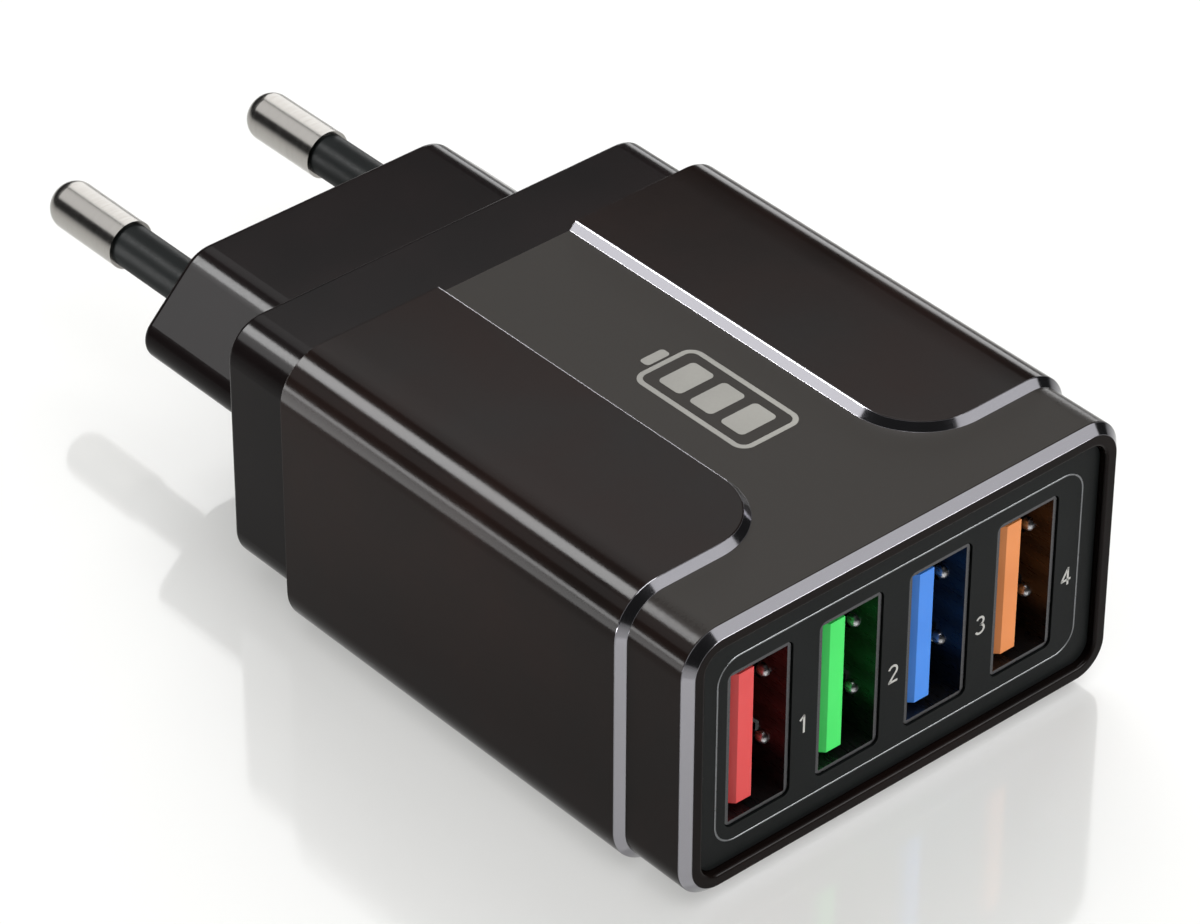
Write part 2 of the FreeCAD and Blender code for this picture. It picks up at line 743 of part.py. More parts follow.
def make_boards():
    """The main board on its rails, the upright USB board, and the header that links the two."""
    main = node(box("main_board", "main_board_width", "main_board_length", "board_thickness"), "main_board")
    place(main, x="-(main_board_width / 2)", y="main_board_start", z="board_under")

    body = new_body("usb_board")
    blank = section(body, "usb_board_blank")
    rectangle(blank, "cavity_width - 2 * board_gap", "cavity_height - 2 * board_gap")
    pad(body, blank, "board_thickness")
    finish_edges(body, "Fillet", lengthwise_at("cavity_width / 2 - board_gap",
                                               "cavity_height / 2 - board_gap"), "cavity_corner")
    place(body, y="usb_board_start")

    base = box("header_base", "header_width", "header_depth", "header_height")
    posts = []
    for post in range(4):
        across = f"{post - 1.5} * header_pitch - header_post / 2"
        upright = box(f"header_post_{post + 1}", "header_post", "header_post", "2 * header_height")
        posts.append(shift(upright, x=across, y="(header_depth - header_post) / 2"))
        arm = box(f"header_arm_{post + 1}", "header_post", "(header_depth + header_post) / 2", "header_post")
        posts.append(shift(arm, x=across, z="2 * header_height - header_post"))
    header = node(joined("link_header", [base] + posts), "link_header")
    place(header, x="main_board_width / 2 - header_edge - header_width / 2",
          y="main_board_start", z="board_top")


def make_transformer():
    """A closed ferrite core, the bobbin on its centre leg and the winding on the bobbin."""
    middle = "bobbin_height / 2"
    block = shift(box("core_block", "core_across", "core_along", "core_thickness"),
                  y="-(core_along / 2)", z=f"{middle} - core_thickness / 2")
    windows = []
    for side, sign in SIDES.items():
        window = box(f"core_window_{side}", "window_width", "window_length", "core_thickness")
        centre = f"{sign} * (core_centre_leg + window_width) / 2"
        windows.append(shift(window, x=f"{centre} - window_width / 2", y="-(window_length / 2)",
                             z=f"{middle} - core_thickness / 2"))
    core = node(cut_from("transformer_core", block, windows), "transformer_core")

    tube = shift(box("bobbin_tube", "bobbin_tube_width", "bobbin_length", "bobbin_tube_height"),
                 y="-(bobbin_length / 2)", z=f"{middle} - bobbin_tube_height / 2")
    flanges = []
    for end, start in {"front": "-(bobbin_length / 2)", "rear": "bobbin_length / 2 - bobbin_flange"}.items():
        flange = box(f"bobbin_flange_{end}", "bobbin_width", "bobbin_flange", "bobbin_height")
        flanges.append(shift(flange, y=start))
    bore = shift(box("bobbin_bore", "bobbin_bore_width", "bobbin_length", "bobbin_bore_height"),
                 y="-(bobbin_length / 2)", z=f"{middle} - bobbin_bore_height / 2")
    solid = joined("bobbin_solid", [tube] + flanges)
    bobbin = node(cut_from("transformer_bobbin", solid, [bore]), "transformer_bobbin")

    winding = new_body("transformer_winding")
    turns = section(winding, "winding_turns", depth="-(winding_length / 2)", z=middle)
    rectangle(turns, "winding_width", "winding_height")
    pad(winding, turns, "winding_length")
    half_width = value("winding_width / 2")

    def turn_edge(point, direction):
        return near(abs(direction.y), 1) and near(abs(point.x), half_width)
    finish_edges(winding, "Fillet", turn_edge, "winding_round")
    hole = section(winding, "winding_hole", depth="-(winding_length / 2)", z=middle)
    rectangle(hole, "bobbin_tube_width", "bobbin_tube_height")
    pocket(winding, hole, "winding_length")
    for item in (core, bobbin, winding):
        place(item, x="transformer_x", y="transformer_y", z="board_top")


def make_can(label, diameter, height, x, y):
    """An upright electrolytic capacitor: a rolled can, crimped near its foot."""
    body = new_body(label)
    profile = sketch_in(body, "XZ_Plane", label + "_profile", {})
    radius = f"({diameter}) / 2"
    outline(profile, [
        (0, 0),
        (radius, 0),
        (radius, "can_crimp_height - can_crimp"),
        (f"{radius} - can_crimp", "can_crimp_height"),
        (radius, "can_crimp_height + can_crimp"),
        (radius, height),
        (0, height),
    ])
    spin(body, profile)
    top = value(height)
    finish_edges(body, "Fillet", lambda point, direction: near(point.z, top), "can_round")
    place(body, x=x, y=y, z="board_top")


def make_safety_capacitor():
    """A coated ceramic disc that stands on its edge between the two halves of the circuit."""
    body = new_body("safety_capacitor")
    disc = section(body, "safety_disc", z="safety_diameter / 2")
    circle(disc, "safety_diameter")
    pad(body, disc, "safety_thickness")
    finish_edges(body, "Fillet", lambda point, direction: near(abs(direction.y), 0), "safety_round")
    place(body, x="bulk_x", y="main_board_start + safety_start", z="board_top")


def make_choke():
    """A drum core on its flange, with the winding around its waist."""
    for label, profile_points in {
        "choke_core": [
            (0, 0),
            ("choke_diameter / 2", 0),
            ("choke_diameter / 2", "choke_flange"),
            ("choke_post_diameter / 2", "choke_flange"),
            ("choke_post_diameter / 2", "choke_height - choke_flange"),
            ("choke_diameter / 2", "choke_height - choke_flange"),
            ("choke_diameter / 2", "choke_height"),
            (0, "choke_height"),
        ],
        "choke_winding": [
            ("choke_post_diameter / 2", "choke_flange"),
            ("choke_winding_diameter / 2", "choke_flange"),
            ("choke_winding_diameter / 2", "choke_height - choke_flange"),
            ("choke_post_diameter / 2", "choke_height - choke_flange"),
        ],
    }.items():
        body = new_body(label)
        profile = sketch_in(body, "XZ_Plane", label + "_profile", {})
        outline(profile, profile_points)
        spin(body, profile)
        place(body, x="choke_shift", y="mains_y", z="board_top")


def make_fuse():
    """A small boxed fuse."""
    body = new_body("fuse")
    front = section(body, "fuse_front", z="fuse_height / 2")
    rectangle(front, "fuse_width", "fuse_height")
    pad(body, front, "fuse_length")
    top = value("fuse_height")
    finish_edges(body, "Fillet", lambda point, direction: near(point.z, top), "fuse_round")
    place(body, x="main_board_width / 2 - fuse_edge - fuse_width / 2",
          y="main_board_start + fuse_start", z="board_top")


def package(label, width, length, height):
    """A moulded package with two flat leads on each side, standing on its local zero."""
    parts = [shift(box(label + "_case", width, length, height), y=f"-({length}) / 2")]
    for side, sign in SIDES.items():
        for row, step in (("front", -1), ("rear", 1)):
            lead = box(f"{label}_lead_{side}_{row}", "2 * package_lead_length", "package_lead_width",
                       "package_lead_thickness")
            parts.append(shift(lead, x=f"{sign} * ({width}) / 2 - package_lead_length",
                               y=f"{step} * ({length}) / 4 - package_lead_width / 2"))
    return node(joined(label, parts), label)


def make_packages():
    """The moulded semiconductors: three on the main board and two on the back of the USB board."""
    bridge = package("bridge_rectifier", "bridge_width", "bridge_length", "bridge_height")
    place(bridge, x="bridge_shift", y="mains_y", z="board_top")
    switch = package("power_switch", "switch_width", "switch_length", "switch_height")
    place(switch, x="package_x", y="main_board_start + switch_start", z="board_top")
    coupler = package("optocoupler", "coupler_width", "coupler_length", "coupler_height")
    place(coupler, x="package_x", y="main_board_start + coupler_start", z="board_top")
    rectifier = package("output_rectifier", "rectifier_width", "rectifier_length", "rectifier_height")
    place(rectifier, x="main_board_width / 2 - rectifier_edge - rectifier_width / 2",
          y="main_board_start", z="rectifier_rise")
    controller = package("charge_controller", "controller_width", "controller_length", "controller_height")
    place(controller, y="main_board_start", z="controller_rise")
    for item in (rectifier, controller):
        item.Placement.Rotation = FreeCAD.Rotation(VECTOR(1, 0, 0), -90)


def check_and_export():
    """Stop on any failed object or bad shape, then write one file for each sub-part."""
    doc.recompute()
    for item in doc.Objects:
        if "Invalid" in item.State or "Error" in item.State:
            raise RuntimeError(f"{item.Name} did not build: {item.State}")
    for item in nodes:
        if item.Shape.isNull() or not item.Shape.isValid():
            raise RuntimeError(f"{item.Label} has a bad shape")
    for item in nodes:
        item.Shape.exportStep(f"parts/{item.Label}.step")
        print(f"{item.Label}: {len(item.Shape.Solids)} solid, {item.Shape.Volume:.1f} cubic mm")


make_main_shell()
make_rear_cover()
make_port_plate()
for pin_side, pin_sign in SIDES.items():
    make_plug_pin(pin_side, pin_sign)
    make_pin_contact(pin_side, pin_sign)
for port_number, port_colour in enumerate(PORT_COLOURS):
    make_port_shell(port_number)
    make_port_tongue(port_number, port_colour)
make_boards()
make_transformer()
make_can("bulk_capacitor", "bulk_diameter", "bulk_height", "bulk_x",
         "main_board_start + bulk_start + bulk_diameter / 2")
for can in range(2):
    make_can(f"output_capacitor_{can + 1}", "output_diameter", "output_height",
             f"output_x + {can} * (output_diameter + output_space)",
             "main_board_start + output_start + output_diameter / 2")
make_safety_capacitor()
make_choke()
make_fuse()
make_packages()
check_and_export()
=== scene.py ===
# %% [markdown]
# # A four-port USB wall charger
# The charger is a black moulded case with a flat two-pin plug on its back and four upright USB sockets
# in its front. The solids come ready-made, so this lesson is about their looks: it loads them as a fixed
# frame, adds thin printed and polished details as surfaces worked out with numpy, gives every piece a
# finish made of shader nodes, and sets up the studio.

import bmesh
import bpy
import numpy as np
from mathutils import Matrix


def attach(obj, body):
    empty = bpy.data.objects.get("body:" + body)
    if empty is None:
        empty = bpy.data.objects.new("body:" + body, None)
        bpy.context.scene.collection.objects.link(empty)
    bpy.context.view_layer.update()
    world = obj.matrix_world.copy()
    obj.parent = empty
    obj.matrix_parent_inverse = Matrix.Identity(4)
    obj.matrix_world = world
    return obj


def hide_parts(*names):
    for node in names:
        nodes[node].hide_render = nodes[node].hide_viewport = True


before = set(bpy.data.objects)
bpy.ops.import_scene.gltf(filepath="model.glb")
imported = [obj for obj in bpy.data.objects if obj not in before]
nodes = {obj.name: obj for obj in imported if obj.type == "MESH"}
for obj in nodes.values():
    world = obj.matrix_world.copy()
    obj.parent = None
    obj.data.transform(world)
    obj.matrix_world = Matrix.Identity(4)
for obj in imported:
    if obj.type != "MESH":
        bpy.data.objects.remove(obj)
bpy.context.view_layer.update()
print("nodes:", len(nodes))

# %% [markdown]
# ## Helpers for the finishes
# A colour picked from a screen is an sRGB value, and the shader works in linear light, so each hex value
# is turned once on its way in. A finish is a small graph of nodes. One function adds a node, sets its
# properties and its inputs, and joins those inputs that are given as another node's output.

# %% Colour and node helpers
def linear(hex_colour):
    """The linear RGBA of an sRGB hex value: each channel is undone by the sRGB curve."""
    channels = np.array([int(hex_colour[i:i + 2], 16) for i in (1, 3, 5)]) / 255
    low = channels / 12.92
    high = ((channels + 0.055) / 1.055) ** 2.4
    return (*np.where(channels <= 0.04045, low, high).tolist(), 1.0)


def add_node(tree, kind, settings=None, **inputs):
    """Add a node, set its properties, then link or set its inputs.

    An input is named by its label, or by its number as i0, i1 and so on where a label repeats.
    """
    made = tree.nodes.new(kind)
    for name, setting in (settings or {}).items():
        setattr(made, name, setting)
    for name, source in inputs.items():
        key = int(name[1:]) if name[1:].isdigit() else name.replace("_", " ")
        socket = made.inputs[key]
        if isinstance(source, bpy.types.NodeSocket):
            tree.links.new(source, socket)
        else:
            socket.default_value = source
    return made


print("black #0c0908 in linear light:", linear("#0c0908"))


# %% Start a finish and give it to solids
def new_finish(name):
    """An empty material with its output node, and the Object coordinates that its patterns read."""
    material = bpy.data.materials.new(name)
    material.use_nodes = True
    tree = material.node_tree
    tree.nodes.clear()
    end = add_node(tree, "ShaderNodeOutputMaterial")
    place = add_node(tree, "ShaderNodeTexCoord").outputs["Object"]
    return material, tree, end, place


def dress(material, *names):
    """Give a finish to the named solids."""
    for name in names:
        nodes[name].data.materials.clear()
        nodes[name].data.materials.append(material)
    print(material.name, "on", len(names), "solids")


# %% [markdown]
# ## The case: moulded ABS, grained, satin and bright
# The case is injection moulded from black ABS. The mould was spark-eroded to a fine grain in the channel
# along the top and on the front band, drawn satin on the raised side panels, and cut bright on the sloped
# edges of the panels and of the front rim. The same plastic looks grey, deep black and silver. It could be
# three materials on three sets of faces. It is one here, because each point of the skin carries a number,
# its finish, which runs smoothly from -1, grained, through 0, satin, to 1, bright.

# %% Finish of the case
MM = 0.001
CASE_GRAIN = 0.25 * MM               # the real grain is 0.05 mm and would not show, so it is drawn coarser
CASE_HAZE = 12 * MM                  # width of the faint changes that flow in the mould and handling leave
GRAIN_DEPTH = 0.02 * MM
PLASTIC_IOR = 1.46
NOISE_LOW, NOISE_HIGH = 0.3, 0.7     # most of a noise lies between these
COLOURS = {"data_type": "RGBA"}      # a Mix node's A and B are inputs 2 and 3, and 6 and 7 for colours


def make_case_abs():
    """Black ABS whose colour, gloss and mirror follow the finish number of the skin under it.

    The number gives two shares: bright, from its part above 0, and grained, from its part below 0. The
    satin colour, roughness and relief are blended by these shares with those of the other two finishes.
    """
    material, tree, end, place = new_finish("abs_moulded_black")
    finish = add_node(tree, "ShaderNodeAttribute", {"attribute_name": "finish"}).outputs["Fac"]
    bright = add_node(tree, "ShaderNodeMapRange", Value=finish, From_Min=0.1, From_Max=0.9).outputs[0]
    grained = add_node(tree, "ShaderNodeMapRange", Value=finish, From_Min=0.0, From_Max=-1.0).outputs[0]
    grain = add_node(tree, "ShaderNodeTexNoise", Vector=place, Scale=1 / CASE_GRAIN, Detail=2.0)
    haze = add_node(tree, "ShaderNodeTexNoise", Vector=place, Scale=1 / CASE_HAZE, Detail=3.0)
    # The haze tints the satin black a little warmer in places, as on a handled case.
    tint = add_node(tree, "ShaderNodeMapRange", Value=haze.outputs["Fac"], From_Min=NOISE_LOW,
                    From_Max=NOISE_HIGH)
    satin = add_node(tree, "ShaderNodeMix", COLOURS, Factor=tint.outputs[0], i6=linear("#0c0908"),
                     i7=linear("#120a08"))
    plain = add_node(tree, "ShaderNodeMix", COLOURS, Factor=grained, i6=satin.outputs[2],
                     i7=linear("#23211f"))
    colour = add_node(tree, "ShaderNodeMix", COLOURS, Factor=bright, i6=plain.outputs[2],
                      i7=linear("#929196"))
    # Satin gives long soft streaks, grain spreads them to a grey veil, and the cut gives a sharp glint.
    glossy = add_node(tree, "ShaderNodeMapRange", Value=haze.outputs["Fac"], From_Min=NOISE_LOW,
                      From_Max=NOISE_HIGH, To_Min=0.13, To_Max=0.18)
    matt = add_node(tree, "ShaderNodeMapRange", Value=grain.outputs["Fac"], From_Min=NOISE_LOW,
                    From_Max=NOISE_HIGH, To_Min=0.3, To_Max=0.4)
    moulded = add_node(tree, "ShaderNodeMix", Factor=grained, i2=glossy.outputs[0], i3=matt.outputs[0])
    rough = add_node(tree, "ShaderNodeMix", Factor=bright, i2=moulded.outputs[0], i3=0.12)
    # The cut edges have no grain, so the relief dies away where the skin is bright.
    relief = add_node(tree, "ShaderNodeMix", Factor=bright, i2=grain.outputs["Fac"], i3=0.5)
    bump = add_node(tree, "ShaderNodeBump", Strength=0.1, Distance=GRAIN_DEPTH, Height=relief.outputs[0])
    surface = add_node(tree, "ShaderNodeBsdfPrincipled", Base_Color=colour.outputs[2], Metallic=bright,
                       Roughness=rough.outputs[0], IOR=PLASTIC_IOR, Specular_IOR_Level=0.08,
                       Normal=bump.outputs[0])
    tree.links.new(surface.outputs[0], end.inputs["Surface"])
    return material


case_abs = make_case_abs()
print(case_abs.name, len(case_abs.node_tree.nodes), "nodes")

# %% [markdown]
# ## The plain plastics
# The plug moulding, the port plate, the pin sleeves and the coloured tongues are moulded too. Each has a
# broad haze that tints the colour between a dark and a light value, and a noise of its own grit size that
# moves the roughness a little and raises a faint grain. One function makes them all, from the numbers of
# each plastic. As on the case, the grit is drawn coarser than the real one, so that it shows.

# %% How a plain plastic is made
MOULD_HAZE = 9 * MM


def make_moulding(name, dark, light, grit_mm, roughness, level, relief=0.1):
    """A moulded plastic: a haze blends two colours, and grit gives a roughness range and a fine relief."""
    material, tree, end, place = new_finish(name)
    grit = add_node(tree, "ShaderNodeTexNoise", Vector=place, Scale=1 / (grit_mm * MM), Detail=3.0)
    haze = add_node(tree, "ShaderNodeTexNoise", Vector=place, Scale=1 / MOULD_HAZE, Detail=2.0)
    tint = add_node(tree, "ShaderNodeMapRange", Value=haze.outputs["Fac"], From_Min=NOISE_LOW,
                    From_Max=NOISE_HIGH)
    colour = add_node(tree, "ShaderNodeMix", COLOURS, Factor=tint.outputs[0], i6=linear(dark),
                      i7=linear(light))
    rough = add_node(tree, "ShaderNodeMapRange", Value=grit.outputs["Fac"], From_Min=NOISE_LOW,
                     From_Max=NOISE_HIGH, To_Min=roughness[0], To_Max=roughness[1])
    bump = add_node(tree, "ShaderNodeBump", Strength=relief, Distance=GRAIN_DEPTH,
                    Height=grit.outputs["Fac"])
    surface = add_node(tree, "ShaderNodeBsdfPrincipled", Base_Color=colour.outputs[2],
                       Roughness=rough.outputs[0], IOR=PLASTIC_IOR, Specular_IOR_Level=level,
                       Normal=bump.outputs[0])
    tree.links.new(surface.outputs[0], end.inputs["Surface"])
    return material


# %% Finishes of the plain plastics
# The plug is ABS from a smooth mould: deep black, with long soft streaks.
dress(make_moulding("abs_moulded_plug", "#0b0909", "#100c0c", grit_mm=0.25, roughness=(0.15, 0.2),
                    level=0.08, relief=0.03), "rear_cover")
# The port plate is ABS from a grained mould: a dull black that lets the ports stand out.
dress(make_moulding("abs_moulded_plate", "#0e1010", "#131515", grit_mm=0.25, roughness=(0.34, 0.44),
                    level=0.1), "port_plate")
# The sleeves are nylon: matt black, with hardly any mirror.
dress(make_moulding("nylon_moulded_sleeve", "#0b0d0d", "#101212", grit_mm=0.2, roughness=(0.36, 0.46),
                    level=0.05), "sleeve_left", "sleeve_right")
# The tongues are dyed PBT: a clear, even colour with a soft gloss.
TONGUES = {"red": ("#c73d3d", "#d34949"), "green": ("#35ce58", "#41da64"),
           "blue": ("#3578d0", "#4184dc"), "orange": ("#ce7c41", "#da884d")}
for dye, (dark, light) in TONGUES.items():
    dress(make_moulding(f"pbt_moulded_{dye}", dark, light, grit_mm=0.3, roughness=(0.3, 0.38),
                        level=0.4), f"port_tongue_{dye}")

# %% [markdown]
# ## The metals
# The plug pins are turned brass with bright nickel plating: the tool leaves fine rings round the pin. The
# port shells are folded from tinned steel strip, rolled along its length, and the contact blades are
# gold-flashed bronze. Each is a metal whose roughness and relief follow a noise that is stretched along
# the way the surface was worked. The marks are drawn a few times as coarse as real ones, so that they show.

# %% How a worked metal is made
MARK_DEPTH = 0.01 * MM
ROUND_Y = (0.05, 1.0, 0.05)     # marks in rings round the pins
ALONG_Y = (1.0, 0.1, 1.0)       # marks along the charger
ALONG_Z = (1.0, 1.0, 0.1)       # marks up and down
EVEN = (1.0, 1.0, 1.0)          # specks, alike in all directions


def make_worked_metal(name, dark, light, pitch_mm, stretch, roughness, relief=0.15):
    """A metal with working marks: noise squeezed by stretch along each axis, pitch_mm across the marks."""
    material, tree, end, place = new_finish(name)
    squeeze = add_node(tree, "ShaderNodeMapping", Vector=place, Scale=stretch)
    marks = add_node(tree, "ShaderNodeTexNoise", Vector=squeeze.outputs[0], Scale=1 / (pitch_mm * MM),
                     Detail=4.0)
    colour = add_node(tree, "ShaderNodeMix", COLOURS, Factor=marks.outputs["Fac"], i6=linear(dark),
                      i7=linear(light))
    rough = add_node(tree, "ShaderNodeMapRange", Value=marks.outputs["Fac"], From_Min=NOISE_LOW,
                     From_Max=NOISE_HIGH, To_Min=roughness[0], To_Max=roughness[1])
    bump = add_node(tree, "ShaderNodeBump", Strength=relief, Distance=MARK_DEPTH,
                    Height=marks.outputs["Fac"])
    surface = add_node(tree, "ShaderNodeBsdfPrincipled", Base_Color=colour.outputs[2], Metallic=1.0,
                       Roughness=rough.outputs[0], Normal=bump.outputs[0])
    tree.links.new(surface.outputs[0], end.inputs["Surface"])
    return material


# %% Finishes of the metals
PORTS = range(1, 5)
# Nickel on turned brass is a warm, bright grey.
dress(make_worked_metal("brass_nickel_plated", "#a5a29e", "#c4c1bc", pitch_mm=0.15, stretch=ROUND_Y,
                        roughness=(0.18, 0.26), relief=0.05), "pin_left", "pin_right")
# Tinned steel, its colour darkened to a painted shade, so it shows as a dim thin line round each port.
dress(make_worked_metal("steel_tinned_painted_shade", "#4e4e50", "#666668", pitch_mm=0.12, stretch=ALONG_Y,
                        roughness=(0.26, 0.32), relief=0.03), *[f"port_shell_{n}" for n in PORTS])
# A flash of gold gives the bronze blades a yellow glint.
dress(make_worked_metal("bronze_gold_flashed", "#c09a4e", "#dcb868", pitch_mm=0.2, stretch=ALONG_Y,
                        roughness=(0.2, 0.3)),
      *[f"port_contacts_{n}" for n in PORTS], "pin_contact_left", "pin_contact_right")

# %% [markdown]
# ## The pieces inside
# The boards and parts inside the case are never seen from outside, but they are part of the object, so
# they get a finish too, made by the same two functions.

# %% Finishes of the inner plastics and ceramics
# The boards are glass-epoxy laminate, green and softly shining with their solder mask.
dress(make_moulding("laminate_glass_epoxy", "#1c5a34", "#24703f", grit_mm=0.4, roughness=(0.3, 0.45),
                    level=0.4), "main_board", "usb_board")
# Epoxy packages are dull and nearly black.
dress(make_moulding("epoxy_moulded_package", "#161616", "#202020", grit_mm=0.15, roughness=(0.45, 0.6),
                    level=0.4),
      "bridge_rectifier", "power_switch", "optocoupler", "output_rectifier", "charge_controller",
      "link_header", "fuse")
# Sintered ferrite is a dark grey stone with a rough skin.
dress(make_moulding("ferrite_sintered", "#2c2c2e", "#3a3a3c", grit_mm=0.2, roughness=(0.55, 0.7),
                    level=0.4, relief=0.3), "transformer_core", "choke_core")
# The bobbin's undyed nylon is ivory and half matt.
dress(make_moulding("nylon_moulded_bobbin", "#d8ceb4", "#e6dec8", grit_mm=0.3, roughness=(0.4, 0.5),
                    level=0.4), "transformer_bobbin")
# The dipped ceramic has a blue, slightly wavy gloss.
dress(make_moulding("ceramic_dipped_blue", "#2a5f9c", "#3470b0", grit_mm=0.5, roughness=(0.25, 0.35),
                    level=0.5), "safety_capacitor")

# %% Finishes of the inner metals
# Enamelled wire is copper red under its lacquer.
dress(make_worked_metal("copper_enamelled_wire", "#8a4a20", "#b8683a", pitch_mm=0.3, stretch=ALONG_Y,
                        roughness=(0.25, 0.4)), "transformer_winding", "choke_winding")
# A drawn aluminium can is pale, with streaks up its side.
dress(make_worked_metal("aluminium_drawn_can", "#9a9b9d", "#b6b7b9", pitch_mm=0.2, stretch=ALONG_Z,
                        roughness=(0.25, 0.35)),
      "bulk_capacitor", "output_capacitor_1", "output_capacitor_2")

# %% [markdown]
# ## Grids of points
# A new piece is one or more grids of points, worked out as numpy arrays, and each cell of four neighbours
# is a face. A direction that comes back to its start is closed by joining its last row to its first. The
# mesh then merges points that fall on each other and turns its faces outward.

# %% Faces of a grid
def grid_faces(rows, columns, closed_rows=False, closed_columns=False):
    """The corners of each cell of a grid whose points are numbered row by row."""
    i, j = np.meshgrid(np.arange(rows if closed_rows else rows - 1),
                       np.arange(columns if closed_columns else columns - 1), indexing="ij")
    below, beside = (i + 1) % rows, (j + 1) % columns
    corners = [i * columns + j, below * columns + j, below * columns + beside, i * columns + beside]
    return np.stack(corners, axis=-1).reshape(-1, 4)


print("cells of a grid of 3 by 4 points:", len(grid_faces(3, 4)))

# %% A piece from its grids
MERGE_WITHIN = 0.002 * MM


def add_piece(name, grids, material, closed=(False, False), smooth=True, finish=None):
    """One mesh of several grids: each grid's points are numbered on from those of the grid before it."""
    starts = np.cumsum([0] + [grid.shape[0] * grid.shape[1] for grid in grids])
    points = np.concatenate([grid.reshape(-1, 3) for grid in grids])
    faces = np.concatenate([grid_faces(*grid.shape[:2], *closed) + start
                            for grid, start in zip(grids, starts)])
    mesh = bpy.data.meshes.new(name)
    mesh.from_pydata(points, [], faces)
    mesh.polygons.foreach_set("use_smooth", np.full(len(faces), smooth))
    if finish is not None:
        numbers = mesh.attributes.new("finish", "FLOAT", "POINT")
        numbers.data.foreach_set("value", finish.astype(np.float32))
    joined = bmesh.new()
    joined.from_mesh(mesh)
    bmesh.ops.remove_doubles(joined, verts=joined.verts, dist=MERGE_WITHIN)
    bmesh.ops.recalc_face_normals(joined, faces=joined.faces)
    joined.to_mesh(mesh)
    print(name, len(joined.faces), "faces,", sum(edge.is_boundary for edge in joined.edges), "open edges")
    joined.free()
    mesh.materials.append(material)
    piece = bpy.data.objects.new(name, mesh)
    bpy.context.collection.objects.link(piece)
    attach(piece, "root")
    return piece


# %% [markdown]
# ## The skin of the case
# The solid case has knife-sharp edges, and a real moulding never has: light catches a thin line on each
# edge. So the case gets a new skin. It could be a bevelled copy of the solid, but then nothing would say
# which face is which finish. Instead it is worked out: a walk round the outline gives the place, a path
# round each side panel gives the sloped edge, and a profile with rounded corners is carried along it.

# %% A walk round the outline
CENTRE_Z = 11.85 * MM     # height of the case's middle line
RIM_Y = -41.6 * MM        # front face of the rim
ROUND = 3.2 * MM          # radius of the outline's corners
CORNER_X = 17.05 * MM     # their centres, from the middle line
CORNER_Z = 8.05 * MM
STRETCHES = np.cumsum([0, CORNER_X, ROUND * np.pi / 2, 2 * CORNER_Z, ROUND * np.pi / 2, CORNER_X])


def on_outline(along, depth, rise):
    """Points of the left half of the case, by distance from the top middle, depth from the rim, and rise.

    A centre walks round a rectangle while a normal turns at its corners. The point is that centre plus
    the corner radius and the rise, along the normal.
    """
    angle = np.interp(along, STRETCHES, np.array([0.5, 0.5, 1, 1, 1.5, 1.5]) * np.pi)
    x = np.interp(along, STRETCHES, [0, -CORNER_X, -CORNER_X, -CORNER_X, -CORNER_X, 0])
    z = np.interp(along, STRETCHES, [CORNER_Z, CORNER_Z, CORNER_Z, -CORNER_Z, -CORNER_Z, -CORNER_Z])
    reach = ROUND + rise
    return np.stack([x + reach * np.cos(angle), RIM_Y + depth + 0 * x,
                     CENTRE_Z + z + reach * np.sin(angle)], axis=-1)


print("half of the outline:", round(STRETCHES[-1] / MM, 2), "mm")

# %% A profile with rounded corners
GUARD = 1.4     # where the points beside an arc stand, by the distance from the corner to the arc's end


def rounded_profile(corners, radii, steps=6):
    """A line through the corners, with an arc of the given radius at each inner one.

    Each arc starts and ends at radius / tan(half the angle between its lines) from its corner, and a
    point stands just before and after it, so that smooth shading stays on the arc.
    """
    corners = np.array(corners, float)
    lines = [corners[:1]]
    for before, corner, after, radius in zip(corners, corners[1:], corners[2:], radii):
        a = (before - corner) / np.linalg.norm(before - corner)
        b = (after - corner) / np.linalg.norm(after - corner)
        half = np.arccos(np.clip(a @ b, -1, 1)) / 2
        start = radius / np.tan(half)
        middle = corner + (a + b) / np.linalg.norm(a + b) * radius / np.sin(half)
        blend = np.linspace(0, 1, steps)[:, None]
        chord = (corner + a * start - middle) * (1 - blend) + (corner + b * start - middle) * blend
        arc_points = middle + chord / np.linalg.norm(chord, axis=1, keepdims=True) * radius
        lines += [corner[None] + a * start * GUARD, arc_points, corner[None] + b * start * GUARD]
    return np.concatenate(lines + [corners[-1:]])


print("points of one rounded corner:", len(rounded_profile([(-1, 0), (0, 0), (0, 1)], [0.2])))

# %% Places along a panel's edge
CHANNEL_HALF = 5.85 * MM                # half the width of the channel
PANEL_TURN = 6.0 * MM                   # radius of a panel's front corners
TURN_ALONG = CHANNEL_HALF + PANEL_TURN
TURN_DEPTH = 12.0 * MM                  # centre of that turn, back from the rim
BAND_START = 1.5 * MM                   # where the rim ends and the band begins
CASE_LENGTH = 42.0 * MM
EDGE_ROUND = 0.06 * MM                  # radius of the rear edge, and of the foot of the slope
REAR_REACH = [1.8 * MM, 0.9 * MM]       # how far the rear face goes in from the skin
HALF_WALK = STRETCHES[-1]


def through(places, counts):
    """Evenly spaced points from place to place, where each stretch shares its end with the next one."""
    stretches = [np.linspace(a, b, count)[:-1] for a, b, count in zip(places, places[1:], counts)]
    return np.concatenate([*stretches, places[-1:]])


